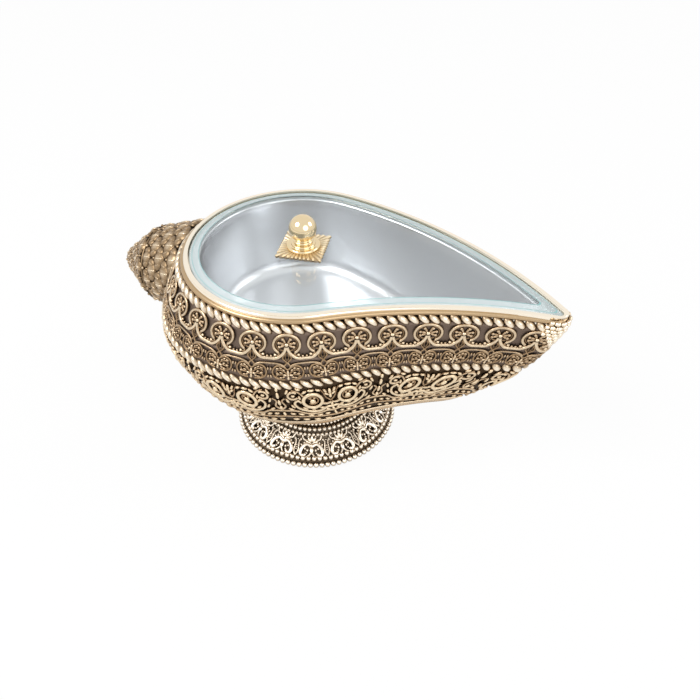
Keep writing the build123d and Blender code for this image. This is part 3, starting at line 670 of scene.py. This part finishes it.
def on_spire(x, y):
    """x runs round the spire as on the cone's base; y runs to the apex, and below 0 is the shoulder."""
    angle = x / SPIRE_BASE_RADIUS
    around = SPIRE_UP * math.cos(angle) + Vector((0.0, math.sin(angle), 0.0))
    along = SPIRE_LENGTH - y
    lean = (SPIRE_BASE_RADIUS - SPIRE_NOSE_RADIUS) / SPIRE_LENGTH
    radius = SPIRE_BASE_RADIUS - lean * y
    if y < 0:
        lean = COLLAR_LEAN
        flare = min(1.0, -y / COLLAR_LENGTH * COLLAR_FLARE)
        radius = COLLAR_WAIST_RADIUS + (COLLAR_ROOT_RADIUS - COLLAR_WAIST_RADIUS) * flare
    return SPIRE_APEX + SPIRE_WAY * along + around * radius, (around - SPIRE_WAY * lean).normalized()


# Each row is its place along the spire, its number of petals, their reach and its shift in petals.
SPIRE_ROWS = (
    (-31.0, 11, 5.4, 0.5), (-24.5, 11, 5.4, 0.0), (-18.0, 11, 5.4, 0.5), (-11.5, 11, 5.2, 0.0),
    (-5.4, 11, 4.4, 0.5), (2.4, 11, 4.4, 0.0), (8.2, 10, 4.2, 0.5), (13.8, 9, 4.0, 0.0),
    (18.8, 8, 3.6, 0.5), (23.4, 7, 3.2, 0.0), (27.4, 5, 2.6, 0.5),
)
SPIRE_NARROWING = 0.64
WAIST_STEPS = 96
PETAL_TURN = 0.35
# The cone and collar between the petals are near-black painted shade.
for node in ("spire_collar", "spire_cone"):
    dress(node, deep_painted_shade)
petals = bmesh.new()
spire_round = math.tau * SPIRE_BASE_RADIUS
for height, count, reach, shifted in SPIRE_ROWS:
    pitch = spire_round / count
    spread = SPIRE_BASE_RADIUS / (SPIRE_BASE_RADIUS - max(height, 0) * SPIRE_NARROWING)
    row = bmesh.new()
    drop(row, 0, 0, 0.0, (pitch * 0.30, reach, 1.6), steps=12)
    drop(row, 0, -0.4, 1.4, (0.5 * spread, reach * 0.7, 0.7), steps=6)
    for side in (-1, 1):
        turn = side * -PETAL_TURN
        drop(row, side * pitch * 0.29, 0.6, 0.0, (pitch * 0.2, reach * 0.72, 1.3), turn=turn, steps=10)
        drop(row, side * pitch * 0.27, 0.4, 1.0, (0.4 * spread, reach * 0.5, 0.6), turn=turn, steps=6)
    drop(row, pitch / 2, reach * 0.55, 0.5, (1.1 * spread, 1.0, 1.3), steps=8)
    drop(row, pitch / 2, -reach * 0.35, 0.5, (0.8 * spread, 1.2, 1.1), steps=6)
    repeat(row, count, pitch)
    bmesh.ops.translate(row, verts=row.verts, vec=(shifted * pitch, height, 0))
    sheet = bpy.data.meshes.new("row")
    row.to_mesh(sheet)
    row.free()
    petals.from_mesh(sheet)
    bpy.data.meshes.remove(sheet)
wires(petals, [[(k * spire_round / WAIST_STEPS, -0.6, 0.0, 0.9) for k in range(WAIST_STEPS + 1)]])
lay(petals, on_spire)
# The petals are painted darker where they lie low, as wax and painted shade, and brighter on their tops as
# painted highlight.
spire_middle, spire_highlight = (0.36, 0.25, 0.145), (0.88, 0.74, 0.54)
spire_metal = antique_with_painted_light(
    "antique champagne spire", CAST_WAX_AND_SHADE, spire_middle, spire_highlight, 0.1, 2.1, roughness=0.24
)
made("spire_petals", petals, spire_metal)

nose = bmesh.new()
layer = lift_layer(nose)
bmesh.ops.create_uvsphere(nose, u_segments=20, v_segments=12, radius=SPIRE_NOSE_RADIUS + 0.7)
bmesh.ops.translate(nose, verts=nose.verts, vec=SPIRE_APEX + SPIRE_WAY * SPIRE_NOSE_RADIUS)
for vertex in nose.verts:
    vertex[layer] = 1.6
made("spire_nose", nose, spire_metal)

# The foot: a plated bell with bead rows, a floral band on its slope and a ring round its neck. A bolt, a
# washer and a nut hold it to the hull, and a felt pad lies under it.
foot_ground = Finish("dark ground of the foot", (0.15, 0.115, 0.08), roughness=0.45).material
# The foot's beads and flowers are painted darker low down, as wax and painted shade, and brighter on top as
# painted highlight.
foot_wax_and_shade, foot_middle, foot_highlight = (0.035, 0.026, 0.02), (0.46, 0.37, 0.27), (0.95, 0.86, 0.73)
foot_metal = antique_with_painted_light("antique pale plating", foot_wax_and_shade, foot_middle, foot_highlight, 0.1, 1.7)
for node in ("foot_shell", "foot_floral"):
    dress(node, foot_ground)
plain_steel = Finish("plain screw steel", (0.62, 0.62, 0.63), roughness=0.3).material
felt = Finish("dark felt", (0.03, 0.028, 0.025), metallic=0.0, roughness=0.95).material
for node in ("neck_collar", "neck_ring"):
    dress(node, ring_metal)
for node in ("foot_bolt", "foot_washer", "foot_nut"):
    dress(node, plain_steel)
dress("foot_pad", felt)


def bead_row(name, circle, z, radius, pitch, stands_for=()):
    """A ring of beads round the foot's axis."""
    beads = bmesh.new()
    layer = lift_layer(beads)
    count = round(math.tau * circle / pitch)
    for number in range(count):
        way = math.tau * number / count
        place = Matrix.Translation((circle * math.cos(way), circle * math.sin(way), z))
        bmesh.ops.create_uvsphere(beads, u_segments=8, v_segments=6, radius=radius, matrix=place)
    # Painted light: each bead is painted brighter on its top and outer side as painted highlight, and darker
    # under and inside it as painted shade.
    for vertex in beads.verts:
        outward = math.hypot(vertex.co.x, vertex.co.y) - circle
        vertex[layer] = 1.0 + (outward + vertex.co.z - z) / radius / 2
    made(name, beads, foot_metal, stands_for=stands_for, finish_slot="foot_metal")


# The floral band on the slope of the foot: cast palmettes with arching stems, and flowers of small dots
# between them, laid on the dished slope.
FOOT_RADIUS = 50.0
FOOT_LIP = 3.2
SHOULDER_RADIUS = 33.0
SHOULDER_Z = 16.5
FOOT_DISH = 1.06
SLOPE = math.hypot(FOOT_RADIUS - SHOULDER_RADIUS, SHOULDER_Z - FOOT_LIP)
SLOPE_OUT = Vector((SHOULDER_Z - FOOT_LIP, FOOT_RADIUS - SHOULDER_RADIUS)) / SLOPE
FLOWER_RADIUS = 42.0
PALMETTES = 14
FOOT_LEAVES = (
    (2.5, -3.0, 1.4), (4.0, -2.2, 1.1), (3.0, -4.8, 0.9), (4.9, 1.4, 1.2), (6.6, 0.2, 1.1),
    (8.3, 6.2, 1.2), (7.4, 3.4, 1.2), (2.6, 5.6, 1.1), (7.2, -7.4, 1.0), (5.2, -8.6, 0.9),
)
FLOWER_DOTS = (
    (0, 0), (1.3, 0), (-1.3, 0), (0, 1.3), (0, -1.3), (1.0, 3.0), (-1.0, 3.0),
    (1.1, -3.0), (-1.1, -3.0), (0, -5.0), (0, 5.0), (0, 7.4),
)


def on_foot(x, y):
    """x runs round the foot and y runs up its slope."""
    angle = x / FLOWER_RADIUS
    share = y / SLOPE
    dish = FOOT_DISH * math.sin(math.pi * share)
    radius = FOOT_RADIUS + (SHOULDER_RADIUS - FOOT_RADIUS) * share - SLOPE_OUT.x * dish
    z = FOOT_LIP + (SHOULDER_Z - FOOT_LIP) * share - SLOPE_OUT.y * dish
    around = Vector((math.sin(angle), -math.cos(angle), 0.0))
    return around * radius + Vector((0, 0, z)), around * SLOPE_OUT.x + Vector((0, 0, SLOPE_OUT.y))


def palmette(mesh):
    """One palmette, and half of the flower on each side of it."""
    middle = 10.4
    edge = math.pi * FLOWER_RADIUS / PALMETTES
    wires(mesh, mirrored([
        curl([(0.4, middle - 0.4), (3.0, middle + 0.9), (5.6, middle - 1.2), (6.6, middle - 4.6),
              (5.2, middle - 6.6), (3.6, middle - 5.4)], thick=1.5, out=0.9, taper=0.3),
        curl([(0.4, middle - 4.8), (2.2, middle - 7.0), (4.4, middle - 7.4)], thick=0.85, out=0.7),
        curl([(0.4, middle + 1.0), (3.0, middle + 3.0), (5.4, middle + 3.6), (6.6, middle + 6.0),
              (4.8, middle + 6.8)], thick=1.0, out=0.8),
        curl([(edge, middle - 6.4), (edge - 1.4, middle - 3.4), (edge - 1.0, middle + 1.6),
              (edge - 2.2, middle + 4.4)], thick=0.8, out=0.7),
    ]))
    for angle, reach in ((90, 3.6), (58, 3.2), (122, 3.2), (24, 2.8), (156, 2.8)):
        way = math.radians(angle)
        x, y = reach * math.cos(way), middle + 1.0 + reach * math.sin(way)
        drop(mesh, x, y, 0.9, (reach * 0.75, 1.05, 1.1), turn=way)
    drop(mesh, 0, middle - 3.0, 0.9, (1.3, 2.6, 1.2))
    drop(mesh, 0, middle, 1.1, (1.6, 1.3, 1.2))
    for side in (-1, 1):
        for x, y, reach in FOOT_LEAVES:
            drop(mesh, side * x, middle + y, 0.7, (0.8, reach, 0.9), steps=6)
    for x, y in FLOWER_DOTS:
        drop(mesh, edge + x, middle - 1.6 + y, 0.6, (0.75, 0.75, 0.9), steps=6)


flowers = bmesh.new()
palmette(flowers)
repeat(flowers, PALMETTES, math.tau * FLOWER_RADIUS / PALMETTES)
lay(flowers, on_foot)
made("foot_flowers", flowers, foot_metal, stands_for=["foot_floral"], finish_slot="foot_metal")

bead_row("foot_beads_lower", 51.2, 1.8, 1.78, 3.6, ["foot_bead_lower"])
bead_row("foot_beads_inner", 48.4, 4.8, 1.7, 3.5, ["foot_bead_inner"])
bead_row("foot_beads_upper", 34.6, 16.6, 1.5, 3.1, ["foot_bead_upper"])
bead_row("foot_beads_neck", 32.0, 18.6, 1.1, 2.4)
bead_row("foot_beads_third", 36.9, 14.4, 1.2, 2.7)

# The liner: a bowl pressed from polished steel sheet with steep sides and a flat floor. It hangs by its
# flange on the ledge inside the rim, under the glass.
RIM_WALL = 2.2
LEDGE_WIDTH = 6.0
GLASS_THICKNESS = 5.0
GLASS_GAP = 0.5
LINER_EDGE = RIM_WALL + LEDGE_WIDTH + 0.4
LINER_FLOOR = 74.0
LINER_TAPER = 4.0
LINER_DRAW_BACK = 26.0
LINER_TURN = 9.0
LINER_STEPS = 8
FLANGE_TOP = RIM_TOP - GLASS_THICKNESS - 0.12
OUTLINE_STEPS = (60, 50, 12, 50)
liner_steel = Finish("polished steel", (0.78, 0.79, 0.81), roughness=0.3).material


def outline_ring(grow, draw_more=0.0):
    """Points of the mouth's outline, evenly shared out on its four arcs."""
    points = []
    for number, steps in enumerate(OUTLINE_STEPS):
        points += [hull_point(number, step / steps, RIM_TOP, grow, draw_more) for step in range(steps)]
    return points


def loft(mesh, rings):
    """A skin through rings of (height, grow, draw-back), from the first to the last."""
    loop = bmesh.ops.create_circle(mesh, segments=sum(OUTLINE_STEPS), radius=1.0)["verts"]
    edges = mesh.edges[:]
    for place, (z, grow, draw_more) in enumerate(rings):
        if place:
            made_now = bmesh.ops.extrude_edge_only(mesh, edges=edges)["geom"]
            edges = [part for part in made_now if isinstance(part, bmesh.types.BMEdge)]
            made_loop = [None] * len(loop)
            fresh = {part for part in made_now if isinstance(part, bmesh.types.BMVert)}
            for index, vertex in enumerate(loop):
                across = [edge.other_vert(vertex) for edge in vertex.link_edges]
                made_loop[index] = next(corner for corner in across if corner in fresh)
            loop = made_loop
        for vertex, point in zip(loop, outline_ring(grow, draw_more)):
            vertex.co = (point.x, point.y, z)
    return edges


liner_rings = [
    (FLANGE_TOP - 0.8, -RIM_WALL - GLASS_GAP, 0.0),
    (FLANGE_TOP, -RIM_WALL - GLASS_GAP, 0.0),
    (FLANGE_TOP, -LINER_EDGE + 0.6, 0.0),
    (FLANGE_TOP - 0.2, -LINER_EDGE + 0.1, 0.0),
    (FLANGE_TOP - 0.9, -LINER_EDGE - 0.3, 0.0),
]
turn_z = LINER_FLOOR + LINER_TURN
liner_rings += [
    (
        FLANGE_TOP - 0.9 + (turn_z - FLANGE_TOP + 0.9) * k / LINER_STEPS,
        -LINER_EDGE - 0.3 - LINER_TAPER * k / LINER_STEPS,
        LINER_DRAW_BACK * k / LINER_STEPS,
    )
    for k in range(1, LINER_STEPS + 1)
]
for k in range(1, LINER_STEPS + 1):
    turn = math.pi / 2 * k / LINER_STEPS
    inward = LINER_EDGE + 0.3 + LINER_TAPER + LINER_TURN * (1 - math.cos(turn))
    liner_rings.append((turn_z - LINER_TURN * math.sin(turn), -inward, LINER_DRAW_BACK))
liner = bmesh.new()
floor_edges = loft(liner, liner_rings)
bmesh.ops.contextual_create(liner, geom=floor_edges)
bmesh.ops.recalc_face_normals(liner, faces=liner.faces)
floor_face = max(liner.faces, key=lambda face: face.calc_area())
if floor_face.normal.z < 0:
    bmesh.ops.reverse_faces(liner, faces=liner.faces)
made("liner", liner, liner_steel, stands_for=["liner_bowl"], finish_slot="liner_steel")

# The lid: thick plate glass, cut to the outline, with a wide ground bevel. A line on the bevel is painted in
# the green light that comes through the glass's edge.
# It lies loose in the rim and is lifted off by its knob.
GLASS_BEVEL = 5.4
GLASS_BEVEL_HEIGHT = 1.3
# Which skins of the glass, counted from below, carry the painted green light of its edge.
PAINTED_LIGHT_SKINS = (4, 6)
lid_glass = Finish(
    "clear plate glass", (0.97, 0.99, 0.99), metallic=0.0, roughness=0.0, transmission_weight=1.0, ior=1.45
).material
edge_glass = Finish(
    "pale ground bevel", (0.82, 0.92, 0.93), metallic=0.0, roughness=0.15, transmission_weight=0.45, ior=1.45
).material
# Painted light: an opaque green strip stands for the light through the glass's edge.
PAINTED_LIGHT_GREEN = (0.28, 0.50, 0.50)
painted_edge_light = Finish("painted green light of the bevel's inner line", PAINTED_LIGHT_GREEN, metallic=0.0, roughness=0.2).material
GLASS_BOTTOM = RIM_TOP - GLASS_THICKNESS
glass_edge = -RIM_WALL - GLASS_GAP
glass = bmesh.new()
glass_rings = [
    (GLASS_BOTTOM, glass_edge - 0.5, 0.0),
    (GLASS_BOTTOM + 0.5, glass_edge, 0.0),
    (RIM_TOP - GLASS_BEVEL_HEIGHT, glass_edge, 0.0),
    (RIM_TOP - GLASS_BEVEL_HEIGHT + 0.2, glass_edge - 0.3, 0.0),
    (RIM_TOP - 0.6, glass_edge - 1.6, 0.0),
    (RIM_TOP - 0.55, glass_edge - 2.0, 0.0),
    (RIM_TOP - 0.05, glass_edge - GLASS_BEVEL, 0.0),
    (RIM_TOP, glass_edge - GLASS_BEVEL - 0.45, 0.0),
]
top_edges = loft(glass, glass_rings)
for number, face in enumerate(glass.faces):
    skin = number // sum(OUTLINE_STEPS)
    face.material_index = 2 if skin in PAINTED_LIGHT_SKINS else 1
low_edges = [edge for edge in glass.edges if edge.is_boundary and edge.verts[0].co.z < GLASS_BOTTOM + 0.1]
flat_faces = bmesh.ops.contextual_create(glass, geom=low_edges)["faces"]
flat_faces += bmesh.ops.contextual_create(glass, geom=top_edges)["faces"]
for face in flat_faces:
    face.material_index = 0
bmesh.ops.recalc_face_normals(glass, faces=glass.faces)
lid = made(
    "lid_plate", glass, lid_glass, body="lid", smooth=False, stands_for=["glass_lid"], finish_slot="lid_glass"
)
lid.data.materials.append(edge_glass)
lid.data.materials.append(painted_edge_light)

# The knob: a turned ball on a ringed neck and a stepped base, gold plated and polished. A screw comes up to
# it through the glass, with a soft washer under its head.
KNOB_CENTRE = Vector((-4.5, 1.0, 0.0))
KNOB_TURN = math.radians(16.0)
PLATE_WIDTH = 25.5
PLATE_THICKNESS = 1.4
BALL_RADIUS = 7.8
BALL_HEIGHT = 11.6
LATHE_STEPS = 64
gold = Finish("mirror gold plating", (0.80, 0.65, 0.41), roughness=0.06).material


def turned_piece(name, profile, centre, material, body, **facts):
    """A piece turned on a lathe from points of radius and height."""
    blank = bmesh.new()
    points = [blank.verts.new((radius, 0.0, z)) for radius, z in profile]
    edges = [blank.edges.new(pair) for pair in zip(points, points[1:])]
    bmesh.ops.spin(
        blank, geom=points + edges, axis=(0, 0, 1), cent=(0, 0, 0), angle=math.tau,
        steps=LATHE_STEPS, use_merge=True,
    )
    bmesh.ops.remove_doubles(blank, verts=blank.verts, dist=0.001)
    bmesh.ops.recalc_face_normals(blank, faces=blank.faces)
    bmesh.ops.translate(blank, verts=blank.verts, vec=centre)
    return made(name, blank, material, body=body, **facts)


def bow(radius, z, size, first, last, steps=8):
    """Points of a turned bead or ball."""
    angles = [math.radians(first + (last - first) * k / steps) for k in range(steps + 1)]
    return [(max(0.0, radius + size * math.cos(a)), z + size * math.sin(a)) for a in angles]


knob_z = RIM_TOP + PLATE_THICKNESS
profile = [(0.0, knob_z), (9.6, knob_z), *bow(8.6, knob_z + 1.0, 1.0, -60, 90)]
profile += [(8.0, knob_z + 1.7), (7.4, knob_z + 1.7)]
profile += [*bow(6.2, knob_z + 2.3, 0.7, -50, 80), (5.3, knob_z + 3.2), *bow(4.9, knob_z + 4.2, 0.9, -80, 80)]
profile += [(4.7, knob_z + 5.3), (4.9, knob_z + 5.7)]
profile += [*bow(0.0, knob_z + BALL_HEIGHT, BALL_RADIUS, -50, 90, 28)]
turned_piece("knob_ball", profile, KNOB_CENTRE, gold, "lid", stands_for=["knob"], finish_slot="gold")
clear_washer = Finish("soft clear washer", (0.85, 0.87, 0.87), metallic=0.0, roughness=0.4).material
dress("knob_screw", plain_steel)
dress("glass_washer", clear_washer)

# The knob's square plate: a casting under the knob, where fanned flutes run out to a scalloped edge.
# Its gold is satin and not polished.
FLUTES = 36
FLUTE_ROOT = 9.4


def on_plate(x, y):
    """A place on the square plate, which is turned a little on the glass."""
    turned = Matrix.Rotation(KNOB_TURN, 4, "Z") @ Vector((x, y, 0.0))
    return KNOB_CENTRE + turned + Vector((0, 0, RIM_TOP + PLATE_THICKNESS - 0.5)), Vector((0, 0, 1))


flutes = bmesh.new()
for number in range(FLUTES):
    way = math.tau * (number + 0.5) / FLUTES
    reach = (PLATE_WIDTH / 2 - 0.5) / max(abs(math.cos(way)), abs(math.sin(way)))
    path = []
    for share in (0.0, 0.3, 0.6, 0.85, 1.0):
        radius = FLUTE_ROOT + (reach - FLUTE_ROOT) * share
        path.append((radius * math.cos(way), radius * math.sin(way), 0.3, 0.6 + 0.55 * share))
    wires(flutes, [path])
    drop(flutes, reach * math.cos(way), reach * math.sin(way), 0.2, (1.1, 1.0, 0.9), turn=way, steps=6)
lay(flutes, on_plate)
# The flutes are painted brighter on their tops as painted highlight and darker between them as painted shade.
pale_gold = antique_with_painted_light("satin pale gold with painted light", (0.16, 0.10, 0.04), (0.62, 0.49, 0.30), (0.93, 0.82, 0.62), -0.1, 1.3)
made("plate_flutes", flutes, pale_gold, body="lid", finish_slot="gold")
dress("knob_plate", ring_metal)

# The stage: a pale floor, a white surround, and soft lamps. To the camera the floor is nearly plain white,
# and on the box it throws only the light that falls on it.
FLOOR_GLOW = 0.93
FLOOR_SINK = 0.0005
SURROUND_LIGHT = 0.55
LAMP_AIM = Vector((0.0, 0.0, 0.08))
floor = Finish("pale floor", (0.93, 0.93, 0.93), metallic=0.0, roughness=0.9)
tree = floor.tree
floor_seen = floor.node("ShaderNodeLightPath") * FLOOR_GLOW
glow = tree.nodes.new("ShaderNodeEmission")
blend = tree.nodes.new("ShaderNodeMixShader")
for slot, socket in zip(blend.inputs, (floor_seen.socket, floor.shader.outputs[0], glow.outputs[0])):
    tree.links.new(socket, slot)
tree.links.new(blend.outputs[0], tree.nodes["Material Output"].inputs["Surface"])
sheet = bmesh.new()
bmesh.ops.create_grid(sheet, x_segments=1, y_segments=1, size=4.0)
floor_mesh = bpy.data.meshes.new("floor")
sheet.to_mesh(floor_mesh)
sheet.free()
floor_mesh.materials.append(floor.material)
floor_piece = bpy.data.objects.new("floor", floor_mesh)
bpy.context.collection.objects.link(floor_piece)
floor_piece.location.z = -FLOOR_SINK

world = bpy.data.worlds.new("white surround")
bpy.context.scene.world = world
world.use_nodes = True
tree = world.node_tree
ray = tree.nodes.new("ShaderNodeLightPath")
by_camera, by_glass, by_mirror = (
    Shade(tree, ray.outputs[f"Is {kind} Ray"]) for kind in ("Camera", "Transmission", "Glossy")
)
seen = by_camera.maths("MAXIMUM", by_camera, by_glass)
seen = seen.maths("MAXIMUM", seen, by_mirror)
strength = seen * (1.0 - SURROUND_LIGHT) + SURROUND_LIGHT
tree.links.new(strength.socket, tree.nodes["Background"].inputs["Strength"])
tree.nodes["Background"].inputs["Color"].default_value = (1.0, 1.0, 1.0, 1.0)


def lamp(name, place, size, watts):
    """A round soft lamp that points at the middle of the box."""
    light = bpy.data.lights.new(name, "AREA")
    light.shape = "DISK"
    light.size = size
    light.energy = watts
    lamp_piece = bpy.data.objects.new(name, light)
    bpy.context.collection.objects.link(lamp_piece)
    lamp_piece.location = place
    lamp_piece.rotation_euler = (LAMP_AIM - Vector(place)).to_track_quat("-Z", "Y").to_euler()


lamp("key", (-0.7, -0.9, 1.3), size=0.9, watts=14)
lamp("fill", (1.2, -0.7, 0.9), size=1.2, watts=6)
lamp("back", (1.5, 0.9, 1.2), size=1.0, watts=8)

# The camera stands where the photograph's did: close above the near side.
CAMERA_PLACE = (0.1735, -0.2813, 0.3498)
CAMERA_WAY = Vector((-0.346, 0.658, -0.669))
CAMERA_LENS = 36.0
CAMERA_SENSOR = 36.0
camera = bpy.data.cameras.new("camera")
camera.lens = CAMERA_LENS
camera.sensor_width = CAMERA_SENSOR
camera_piece = bpy.data.objects.new("camera", camera)
bpy.context.collection.objects.link(camera_piece)
camera_piece.location = CAMERA_PLACE
camera_piece.rotation_euler = CAMERA_WAY.to_track_quat("-Z", "Y").to_euler()
bpy.context.scene.camera = camera_piece
bpy.context.scene.view_settings.view_transform = "Standard"
